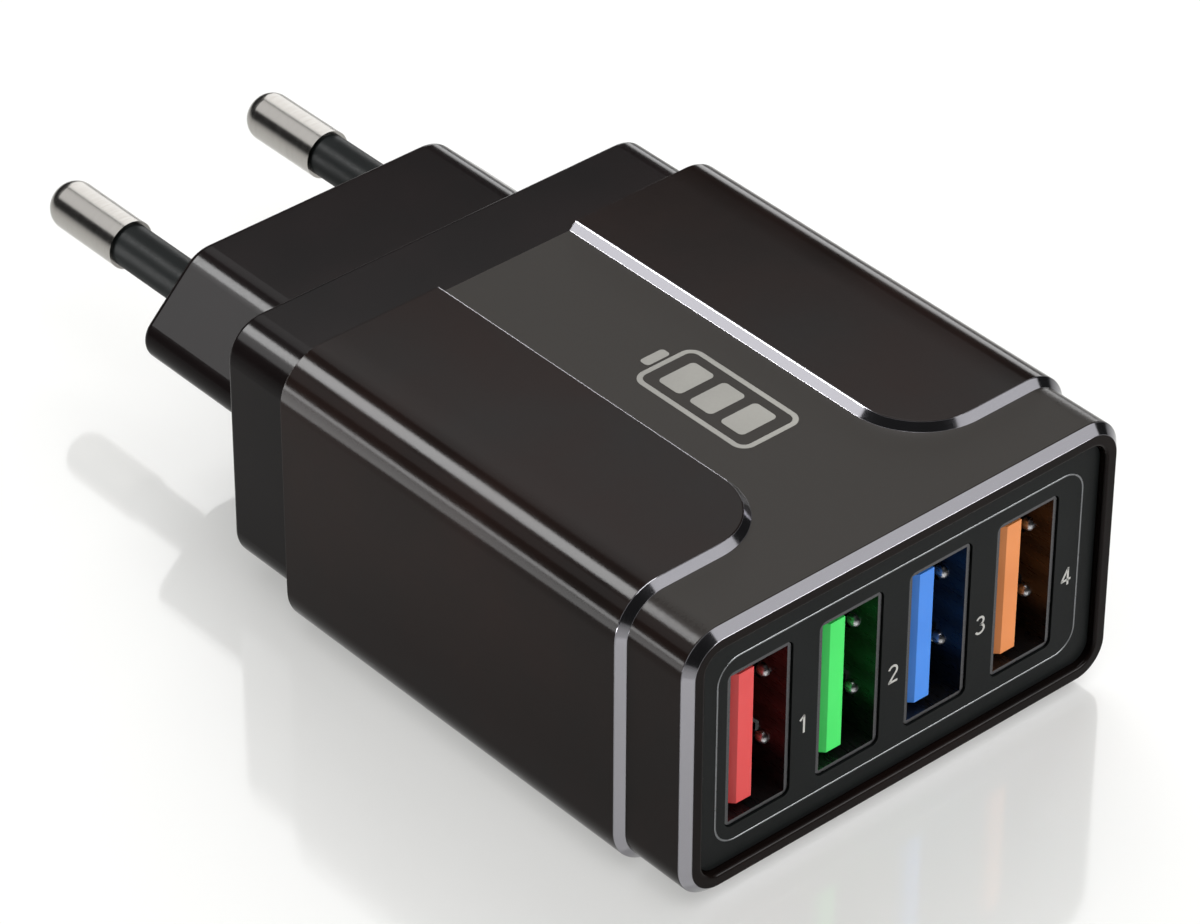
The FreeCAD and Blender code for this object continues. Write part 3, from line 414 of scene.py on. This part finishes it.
quarter = np.linspace(np.pi / 2, 0, 6)
forward = np.linspace(CASE_LENGTH - 1.5 * EDGE_ROUND, TURN_DEPTH, 8)
rear_depth = np.concatenate([[CASE_LENGTH] * 2, CASE_LENGTH - EDGE_ROUND * (1 - np.sin(quarter)), forward])
rear_inset = np.concatenate([REAR_REACH, EDGE_ROUND * (1 - np.cos(quarter)), 0 * forward])
to_corner = np.arctan2(TURN_DEPTH - BAND_START, TURN_ALONG)
bend = through([0, to_corner, np.pi / 2], (12, 12))[1:-1]
side_along = through([TURN_ALONG, *STRETCHES[1:5], HALF_WALK - TURN_ALONG], (4, 20, 6, 20, 4))
print("points to the rear, in a turn, round the side:", len(rear_depth), len(bend), len(side_along))

# %% The path round a side panel
TINY = 1e-9


def panel_path():
    """Along, depth, outward direction, room to the channel's middle or the band, and inset, per point.

    The path comes forward along the channel, turns on a quarter circle, goes round the side, turns again
    and goes back along the lower channel. The lower part is the upper part in a mirror.
    """
    angle = np.concatenate([0 * rear_depth, bend])
    along = TURN_ALONG - PANEL_TURN * np.cos(angle)
    depth = np.concatenate([rear_depth, TURN_DEPTH - PANEL_TURN * np.sin(bend)])
    inset = np.concatenate([rear_inset, 0 * bend])
    to_middle = TURN_ALONG / np.cos(angle)
    to_band = (TURN_DEPTH - BAND_START) / np.maximum(np.sin(angle), TINY)
    room = np.minimum(to_middle, to_band) - PANEL_TURN
    out_along, out_depth = -np.cos(angle), -np.sin(angle)
    side = np.ones(len(side_along))
    side_depth = TURN_DEPTH - PANEL_TURN
    return (np.concatenate([along, side_along, HALF_WALK - along[::-1]]),
            np.concatenate([depth, side_depth * side, depth[::-1]]),
            np.concatenate([out_along, 0 * side, -out_along[::-1]]),
            np.concatenate([out_depth, -side, out_depth[::-1]]),
            np.concatenate([room, (side_depth - BAND_START) * side, room[::-1]]),
            np.concatenate([inset, 0 * side, inset[::-1]]))


path = panel_path()
print("points along a panel's edge:", len(path[0]))

# %% [markdown]
# ## Where each finish lies
# Three patches make half of the skin: the sloped edge with the channel and the band next to it, the flat
# of the panel, and the front rim. Each gives its points and their finish numbers. The surface blends a
# number between two rows of points, so a crisp border has to fall between rows that lie close together,
# which are the rows of the small arcs.

# %% The band's own finish
def plain_finish(along):
    """The finish of the band: grained on the flats of the top and bottom, and satin round the side."""
    fade = 0.5 * (STRETCHES[2] - STRETCHES[1])
    places = [STRETCHES[1], STRETCHES[1] + fade, STRETCHES[4] - fade, STRETCHES[4]]
    return np.interp(along, places, [-1, 0, 0, -1])


print("finish in the channel and on the side:", plain_finish(np.array([0, HALF_WALK / 2])))

# %% The sloped edge
PANEL_RISE = 0.6 * MM
SLOPE_WIDTH = 0.57 * MM
FOOT_WIDTH = 0.4 * MM                            # flat outside the slope's foot
TOP_ROUND = 0.16 * MM
OUTER_SHARES = np.array([0.3, 0.65, 1.0])
TURNED = [0, 0.3, 0.95, 1]                       # 0 is along the channel, and 1 across the front
CUT_FROM = np.array([-0.64, -0.523, -0.523, -0.6]) * MM     # where the bright cut starts there
CUT_FADE = 0.018 * MM
FOOT_FADE = np.array([-0.018, 0.025]) * MM


def sloped_edge():
    """The edge's profile carried along the path, from the middle of the turn out to the channel or band.

    Each point moves out of the path by the profile's offset, and rises by its height. Past the foot of
    the slope the offsets become shares of the room that is left. The finish is bright from the cut's
    start down to the foot, and plain beyond it. Along the channel and across the front the cut takes in
    the upper round, and in the turns it starts below it, so that the round stays dark there.
    """
    along, depth, out_along, out_depth, room, inset = path
    profile = rounded_profile([(-PANEL_TURN, PANEL_RISE), (-SLOPE_WIDTH, PANEL_RISE), (0, 0),
                               (FOOT_WIDTH, 0)], (TOP_ROUND, EDGE_ROUND))
    outer = FOOT_WIDTH + OUTER_SHARES[:, None] * (room - FOOT_WIDTH)
    offset = np.concatenate([profile[:, :1] + 0 * room, outer])
    rise = np.concatenate([profile[:, 1], 0 * OUTER_SHARES])[:, None] - inset
    reached = along + out_along * offset
    points = on_outline(reached, depth + out_depth * offset, rise)
    cut = np.interp(np.abs(out_depth), TURNED, CUT_FROM)
    beyond = np.interp(offset, FOOT_FADE, [0, 1])
    slope = np.clip((offset - cut) / CUT_FADE, 0, 1) * (1 - beyond)
    return points, slope + beyond * plain_finish(reached)


edge_patch = sloped_edge()
print("sloped edge:", edge_patch[0].shape[:2])


# %% The flat of a panel
def panel_face():
    """The flat of a panel behind the turns: round the side by the path's points, back to the rear end."""
    along, depth = np.meshgrid(side_along, rear_depth[::-1], indexing="ij")
    rise = PANEL_RISE - np.broadcast_to(rear_inset[::-1], along.shape)
    return on_outline(along, depth, rise), np.zeros(along.shape)


face_patch = panel_face()
print("flat of a panel:", face_patch[0].shape[:2])

# %% The front rim
CHAMFER = 0.7 * MM
RECESS_DROP = 1.65 * MM                          # from the outline in to the wall of the recess
RECESS_DEPTH = 0.8 * MM
RIM_ROUNDS = np.array([0.16, 0.12, 0.25]) * MM
BAND_FADE = np.array([0, 0.05]) * MM
CHAMFER_FADE = np.array([0, 0.05, 0.655, 0.72]) * MM


def front_rim():
    """The rim's profile carried round the outline: down the chamfer, across the rim, into the recess.

    The profile gives drop and depth. The finish is the band's own before the chamfer, bright on the
    chamfer, and satin on the rim and in the recess.
    """
    along, depth, out_along, out_depth, room, _ = path
    edge = along + out_along * room
    edge = edge[np.abs(depth + out_depth * room - BAND_START) < TINY]
    profile = rounded_profile([(0, BAND_START), (0, CHAMFER), (CHAMFER, 0), (RECESS_DROP, 0),
                               (RECESS_DROP, RECESS_DEPTH)], RIM_ROUNDS)
    drop, depth = profile[:, :1], profile[:, 1:]
    points = on_outline(edge + 0 * drop, depth, -drop)
    chamfer = np.interp(drop, CHAMFER_FADE, [0, 1, 1, 0])
    band = np.interp(drop, BAND_FADE, [1, 0])
    return points, chamfer + band * plain_finish(edge)


rim_patch = front_rim()
print("front rim:", rim_patch[0].shape[:2])

# %% Join the patches and their mirror image into one skin
patches = [edge_patch, face_patch, rim_patch]
both_sides = [patch * (flip, 1, 1) for patch, _ in patches for flip in (1, -1)]
finish = np.concatenate([patch_finish.reshape(-1) for _, patch_finish in patches for _ in range(2)])
case_skin = add_piece("case_skin", both_sides, case_abs, finish=finish)
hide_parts("main_shell")

# %% [markdown]
# ## The silver line on the port plate
# A thin silver line frames the four ports. It is hot-foil stamped, so it is a low bead on the plate: a
# shallow curved profile carried round a rounded rectangle. It could be a bevelled curve, but a grid gives
# the flattened profile at once.

# %% A bead round a rounded rectangle
def round_outline(half_width, half_height, radius, steps=16):
    """A rounded rectangle and its outward normals: four quarter circles, centred a radius inside."""
    angle = np.concatenate([np.linspace(0, np.pi / 2, steps) + turn * np.pi / 2 for turn in range(4)])
    normal = np.stack([np.cos(angle), np.sin(angle)], axis=-1)
    sign = np.repeat([[1, 1], [-1, 1], [-1, -1], [1, -1]], steps, axis=0)
    centre = sign * np.array([half_width - radius, half_height - radius])
    return centre + radius * normal, normal


def bead(outline, normal, width, height):
    """A bead round an outline: each point moves along its normal and up by a flattened circle."""
    turn = np.linspace(0, 2 * np.pi, 10, endpoint=False)
    flat = outline[:, None, :] + normal[:, None, :] * (width / 2 * np.cos(turn))[None, :, None]
    up = np.broadcast_to(height * np.sin(turn), flat.shape[:2])
    return np.concatenate([flat, up[..., None]], axis=-1)


print("points of a bead:", bead(*round_outline(2, 1, 0.5), 0.1, 0.1).shape[:2])

# %% Frame line
PLATE_Y = -41.0 * MM                               # front of the port plate
LINE_OUTLINE = (17.0 * MM, 7.86 * MM, 1.9 * MM)    # half width, half height, corner radius
LINE_PROFILE = (0.15 * MM, 0.03 * MM)              # width and height of the foil
# Stamped foil is a mid grey metal whose shine breaks up in specks.
foil = make_worked_metal("foil_silver_stamped", "#707274", "#8c8e90", pitch_mm=0.3, stretch=EVEN,
                         roughness=(0.25, 0.4))


def on_plate(points):
    """Lay points on the port plate: across, up, and out of it to the front."""
    return np.stack([points[..., 0], PLATE_Y - points[..., 2], CENTRE_Z + points[..., 1]], axis=-1)


frame_line = on_plate(bead(*round_outline(*LINE_OUTLINE), *LINE_PROFILE))
add_piece("plate_frame_line", [frame_line], foil, (True, True))

# %% [markdown]
# ## The spring bumps in the ports
# Just inside the mouth of a port the metal shell has two pressed bumps on each side, in front of its
# spring fingers, that centre a plug. They catch the light next to the dark inside. A bump is half an
# ellipsoid: the two parameters are the turn round it and the climb from its foot to its top.

# %% Spring bumps
PORTS_X = np.array([-13.15, -4.85, 3.45, 11.75]) * MM     # middles of the ports
WALL_X = 2.56 * MM                                        # side walls of a port, from its middle
BUMP_LEVEL = 2.9 * MM                                     # bumps above and below its middle
BUMP_Y = -38.6 * MM
BUMP_RADIUS = 0.55 * MM
BUMP_HEIGHT = 0.5 * MM
BUMP_FOOT = -0.2                                          # the climb starts a little inside the wall
# A bump keeps the pale colour of tin, lighter than the shell's painted shade, and gives a small glint.
pressed = make_worked_metal("steel_tinned_pressed", "#b4b4b6", "#d0d0d2", pitch_mm=0.12, stretch=ALONG_Y,
                            roughness=(0.25, 0.35), relief=0.03)


def bump_points(x, z, facing):
    """Half an ellipsoid on a wall of a port: one radius along and up the wall, and a height off it."""
    turn, climb = np.meshgrid(np.linspace(0, 2 * np.pi, 24, endpoint=False),
                              np.linspace(BUMP_FOOT, np.pi / 2, 8), indexing="ij")
    return np.stack([x - facing * BUMP_HEIGHT * np.sin(climb),
                     BUMP_Y + BUMP_RADIUS * np.cos(climb) * np.cos(turn),
                     z + BUMP_RADIUS * np.cos(climb) * np.sin(turn)], axis=-1)


for port, x in zip(PORTS, PORTS_X):
    bumps = [bump_points(x + facing * WALL_X, CENTRE_Z + level * BUMP_LEVEL, facing)
             for facing in (1, -1) for level in (1, -1)]
    add_piece(f"port_bumps_{port}", bumps, pressed, (True, False))

# %% [markdown]
# ## The port numbers
# Beside each port its number is pad printed, a film of white ink. It could be a text object that is made
# a mesh. Here each digit is drawn as a pen would draw it, in lines and arcs on a box one unit high, and a
# flat ribbon is carried along each of them.

# %% A pen's line and its ink
INK_FILM = 0.012 * MM


def arc(x, y, across, up, start, end):
    """Points of an ellipse about a centre, from a start angle to an end angle in degrees."""
    turn = np.radians(np.linspace(start, end, 20))
    return np.stack([x + across * np.cos(turn), y + up * np.sin(turn)], axis=-1)


def ribbon(line, width):
    """A flat film along a line: half a width to each side, up and down, and closed at its two ends."""
    ahead = np.gradient(line, axis=0)
    aside = np.stack([-ahead[:, 1], ahead[:, 0]], axis=-1) / np.linalg.norm(ahead, axis=1, keepdims=True)
    flat = line[:, None] + aside[:, None] * (np.array([-1, 1, 1, -1]) * width / 2)[None, :, None]
    up = np.broadcast_to(np.array([1, 1, -1, -1]) * INK_FILM, flat.shape[:2])
    film = np.concatenate([flat, up[..., None]], axis=-1)
    ends = [np.broadcast_to(film[end].mean(0), (1, 4, 3)) for end in (0, -1)]
    return np.concatenate([ends[0], film, ends[1]])


print("points of a ribbon along an arc:", ribbon(arc(0, 0, 1, 1, 0, 90), 0.1).shape[:2])

# %% Strokes of the digits
DIGITS = {1: [np.array([(0.06, 0.78), (0.34, 1.0)]), np.array([(0.31, 1.0), (0.31, 0.0)])],
          2: [np.concatenate([arc(0.29, 0.71, 0.25, 0.25, 165, -30), [(0.06, 0.05)]]),
              np.array([(0.02, 0.05), (0.58, 0.05)])],
          3: [arc(0.27, 0.74, 0.22, 0.22, 155, -90), arc(0.27, 0.27, 0.26, 0.25, 90, -155)],
          4: [np.array([(0.43, 0.0), (0.43, 1.0)]), np.array([(0.43, 0.97), (0.03, 0.3)]),
              np.array([(0.0, 0.3), (0.62, 0.3)])]}
print("strokes:", {digit: len(lines) for digit, lines in DIGITS.items()})

# %% Port numbers
DIGIT_HEIGHT = 1.5 * MM
STROKE_WIDTH = 0.12 * DIGIT_HEIGHT
NUMBER_AT = np.array([3.67, -1.95]) * MM     # low left corner of a digit, from its port's middle
# Printed ink is chalky: a soft white that mirrors almost nothing.
white_ink = make_moulding("ink_white_printed", "#a6a5a1", "#b8b7b3", grit_mm=0.2, roughness=(0.45, 0.6),
                          level=0.3)

for (digit, lines), x in zip(DIGITS.items(), PORTS_X):
    low_left = NUMBER_AT + (x, 0)
    strokes = [on_plate(ribbon(low_left + line * DIGIT_HEIGHT, STROKE_WIDTH)) for line in lines]
    add_piece(f"port_number_{digit}", strokes, white_ink, (False, True), smooth=False)

# %% [markdown]
# ## The charge mark on top
# A plain battery sign is printed in the channel in grey ink: a bead round the battery, three filled bars
# and the small end cap. It could be painted by the case's own material, but a film of ink keeps a clean
# edge. Each filled shape is its outline drawn in rings towards its middle.

# %% A film of ink in the channel
CHANNEL_Z = CENTRE_Z + CORNER_Z + ROUND


def in_channel(points, y):
    """Lay points on the floor of the channel, the first direction to the rear, and up out of it."""
    return np.stack([-points[..., 1], y + points[..., 0], CHANNEL_Z + points[..., 2]], axis=-1)


def filled(half_width, half_height, radius):
    """A flat rounded rectangle: its outline shrunk towards its middle in rings, and let down at the rim."""
    outline, _ = round_outline(half_width, half_height, radius, 8)
    scale = np.array([1.0, 1.0, 0.6, 0.0])
    up = np.array([-1.0, 1.0, 1.0, 1.0]) * INK_FILM
    flat = outline[None] * scale[:, None, None]
    return np.concatenate([flat, np.broadcast_to(up[:, None, None], (*flat.shape[:2], 1))], axis=-1)


print("floor of the channel:", round(CHANNEL_Z / MM, 2), "mm up")

# %% Charge mark
MARK_Y = -22.0 * MM
BATTERY = (5.6 * MM, 2.7 * MM, 0.9 * MM)      # half length, half width, corner radius
BATTERY_LINE = 0.45 * MM
BAR = (1.15 * MM, 1.7 * MM, 0.4 * MM)
BAR_STEP = 3.2 * MM
CAP = (0.45 * MM, 1.1 * MM, 0.3 * MM)
CAP_STEP = 6.5 * MM
# The same ink in grey stays quiet on the grained black.
grey_ink = make_moulding("ink_grey_printed", "#64635f", "#72716c", grit_mm=0.2, roughness=(0.45, 0.6),
                         level=0.3)

battery = in_channel(bead(*round_outline(*BATTERY), BATTERY_LINE, INK_FILM), MARK_Y)
add_piece("charge_mark_frame", [battery], grey_ink, (True, True))
bars = [in_channel(filled(*BAR), MARK_Y + step * BAR_STEP) for step in (-1, 0, 1)]
cap = in_channel(filled(*CAP), MARK_Y + CAP_STEP)
add_piece("charge_mark_bars", [*bars, cap], grey_ink, (False, True), smooth=False)

# %% [markdown]
# ## The studio
# The photograph looks down at the charger from its front left corner with a long lens. A camera could be
# aimed by eye. Here its place, its three directions and its lens were fitted to points of the photograph,
# so that the solids fall where the real edges are.

# %% Camera
RIGHT = (0.75357, -0.65735, 0.00365)
UP = (0.38698, 0.44809, 0.80589)
BACK = (-0.53139, -0.60589, 0.59205)
EYE = (-0.21370, -0.25340, 0.24894)

camera_data = bpy.data.cameras.new("camera")
camera = bpy.data.objects.new("camera", camera_data)
bpy.context.collection.objects.link(camera)
camera_data.lens = 168.37
camera_data.sensor_width = 36.0
camera_data.clip_start = 0.01
camera.matrix_world = Matrix.Translation(EYE) @ Matrix((RIGHT, UP, BACK)).transposed().to_4x4()
bpy.context.scene.camera = camera
print("camera:", round(float(np.linalg.norm(EYE)), 3), "m from the origin")

# %% [markdown]
# The floor is a plain sheet of white acrylic. Its gloss gives the eye a soft mirror image of the charger,
# which fades where faint clouds make the sheet a little rougher.

# %% Floor
FLOOR_HALF = 3.0
FLOOR_CLOUD = 0.25

floor_mesh = bpy.data.meshes.new("floor")
floor_corners = [(x * FLOOR_HALF, y * FLOOR_HALF, 0) for x, y in ((-1, -1), (1, -1), (1, 1), (-1, 1))]
floor_mesh.from_pydata(floor_corners, [], [(0, 1, 2, 3)])
floor = bpy.data.objects.new("floor", floor_mesh)
bpy.context.collection.objects.link(floor)
material, tree, end, place = new_finish("acrylic_white_sheet")
cloud = add_node(tree, "ShaderNodeTexNoise", Vector=place, Scale=1 / FLOOR_CLOUD)
rough = add_node(tree, "ShaderNodeMapRange", Value=cloud.outputs["Fac"], To_Min=0.06, To_Max=0.1)
surface = add_node(tree, "ShaderNodeBsdfPrincipled", Base_Color=linear("#f4f4f2"),
                   Roughness=rough.outputs[0], IOR=1.65)
tree.links.new(surface.outputs[0], end.inputs["Surface"])
floor_mesh.materials.append(material)
print("floor:", 2 * FLOOR_HALF, "m wide")

# %% [markdown]
# ## The lights
# Black plastic shows only what it mirrors, so its lights are drawn as shapes, each where some edge mirrors
# it towards the camera. On a white floor such strong lights would burn out, so each light is linked to
# what it is for: the case, the case with its plug, the plug or its pins alone, or the floor, which mirrors
# its own wide lights except where the charger stands in the way.

# %% What each light is for
def lit(name, things):
    """A collection of the things that a light falls on."""
    receivers = bpy.data.collections.new(f"lit_{name}")
    for thing in things:
        receivers.objects.link(thing)
    print(receivers.name, len(things), "pieces")
    return receivers


plug = [nodes["rear_cover"]]
pins = [nodes["pin_left"], nodes["pin_right"]]
apart = [floor, *plug, *pins]
rest = [thing for thing in bpy.data.objects if thing.type == "MESH" and thing not in apart]
on_floor = lit("floor", [floor])
on_case = lit("case", rest)
on_plug = lit("plug", plug)
on_pins = lit("pins", pins)
on_body = lit("body", rest + plug)


# %% A soft light
def soft_light(name, direction, distance, size, power, across, receivers, back=None, shaded=None):
    """A rectangular lamp in a direction from the charger, facing it unless its back is given.

    Its height runs along back x across, and its width along that x back. Only the things in shaded, or
    all things where none are named, throw its shadow.
    """
    data = bpy.data.lights.new(name, "AREA")
    data.shape = "RECTANGLE"
    data.size, data.size_y = size
    data.energy = power
    lamp = bpy.data.objects.new(name, data)
    bpy.context.collection.objects.link(lamp)
    lamp.light_linking.receiver_collection = receivers
    lamp.light_linking.blocker_collection = shaded
    place = np.array(direction, float) / np.linalg.norm(direction) * distance
    back = place / distance if back is None else back
    up = np.cross(back, across)
    up = up / np.linalg.norm(up)
    facing = Matrix((np.cross(up, back), up, back)).transposed().to_4x4()
    lamp.matrix_world = Matrix.Translation(place) @ facing
    print(name, power, "W, radiance", round(power / (size[0] * size[1] * np.pi), 1))


# %% Lights of the floor: soft shadow from above, even white without a shadow, and the sheen it mirrors
soft_light("floor_soft", (0.06, 0.1, 1.0), 1.3, (1.6, 1.6), 4.0, (1, 0, 0), on_floor)
soft_light("floor_even", (-0.3, -0.5, 0.8), 1.3, (1.2, 1.2), 16.6, (1, 0, 0), on_floor, shaded=on_floor)
soft_light("floor_sheen", (0.53, 0.61, 0.59), 1.2, (0.9, 0.9), 5.8, (0.75, -0.66, 0), on_floor)

# %% [markdown]
# A wide light overhead and a sheen from behind, which the flat top mirrors, lift the top from black to
# dark grey. A box behind on the left gives the streak along the upper edges, and a low strip and a card on
# the floor give the second, softer one. The slopes of the panels and the rim mirror boxes of their own.

# %% Lights of the case
soft_light("overhead", (0.06, 0.1, 1.0), 1.3, (1.15, 1.15), 22, (1, 0, 0), on_body)
soft_light("top_sheen", (0.45, 0.52, 0.72), 1.2, (0.8, 0.46), 2.6, (0.75, -0.66, 0), on_body)
soft_light("back_left_box", (-0.31, 0.61, 0.73), 0.7, (0.2, 0.22), 6.2, (-0.8, 0, -0.6), on_body)
soft_light("left_slope_box", (-0.61, 0.61, 0.50), 0.75, (0.2, 0.3), 0.38, (-0.6, 0, -0.8), on_case)
soft_light("left_low_strip", (-0.79, 0.61, 0.06), 0.8, (0.6, 0.09), 4.2, (0.61, 0.79, 0), on_case)
soft_light("left_floor_card", (-0.79, 0.61, 0.01), 0.24, (0.5, 0.36), 5.2, (0.61, 0.79, 0), on_case,
           back=(0, 0, -1))
soft_light("right_low_strip", (0.79, 0.61, 0.12), 0.8, (0.5, 0.2), 1.6, (0.61, -0.79, 0), on_body)
soft_light("front_right_box", (0.53, -0.59, 0.61), 0.9, (0.6, 0.6), 1.4, (0.75, 0.66, 0), on_case)
soft_light("front_fill", (0.38, -0.88, 0.28), 0.8, (0.4, 0.4), 5.3, (1, 0, 0), on_case)

# %% [markdown]
# The plug's sloped side has a box to itself. A round pin mirrors a whole ring of directions, so two boxes
# with a gap between them give it two bright bands and the black line that makes it look like metal.

# %% Lights of the plug and its pins
soft_light("plug_box", (-0.56, 0.61, 0.56), 0.75, (0.25, 0.3), 1.9, (-0.6, 0, -0.8), on_plug)
soft_light("pin_left_box", (-0.31, 0.61, 0.73), 0.75, (0.56, 0.4), 0.75, (0.89, 0, 0.46), on_pins)
soft_light("pin_right_box", (0.6, 0.66, 0.46), 0.75, (0.82, 0.4), 1.75, (0.6, 0, -0.8), on_pins)

# %% [markdown]
# The studio's walls are dark, which keeps the black between the streaks, but a camera that looks past the
# floor should see a pale backdrop. So the world is nearly black as a light, and pale to the camera itself.

# %% Backdrop
world = bpy.data.worlds.new("studio")
bpy.context.scene.world = world
world.use_nodes = True
sky = world.node_tree
sky.nodes.clear()
walls = add_node(sky, "ShaderNodeBackground", Color=linear("#ffffff"), Strength=0.025)
backdrop = add_node(sky, "ShaderNodeBackground", Color=linear("#f4f4f2"), Strength=0.9)
seen = add_node(sky, "ShaderNodeLightPath").outputs["Is Camera Ray"]
choice = add_node(sky, "ShaderNodeMixShader", i0=seen, i1=walls.outputs[0], i2=backdrop.outputs[0])
add_node(sky, "ShaderNodeOutputWorld", Surface=choice.outputs[0])
bpy.context.scene.view_settings.view_transform = "Standard"
print("lights:", len(bpy.data.lights))
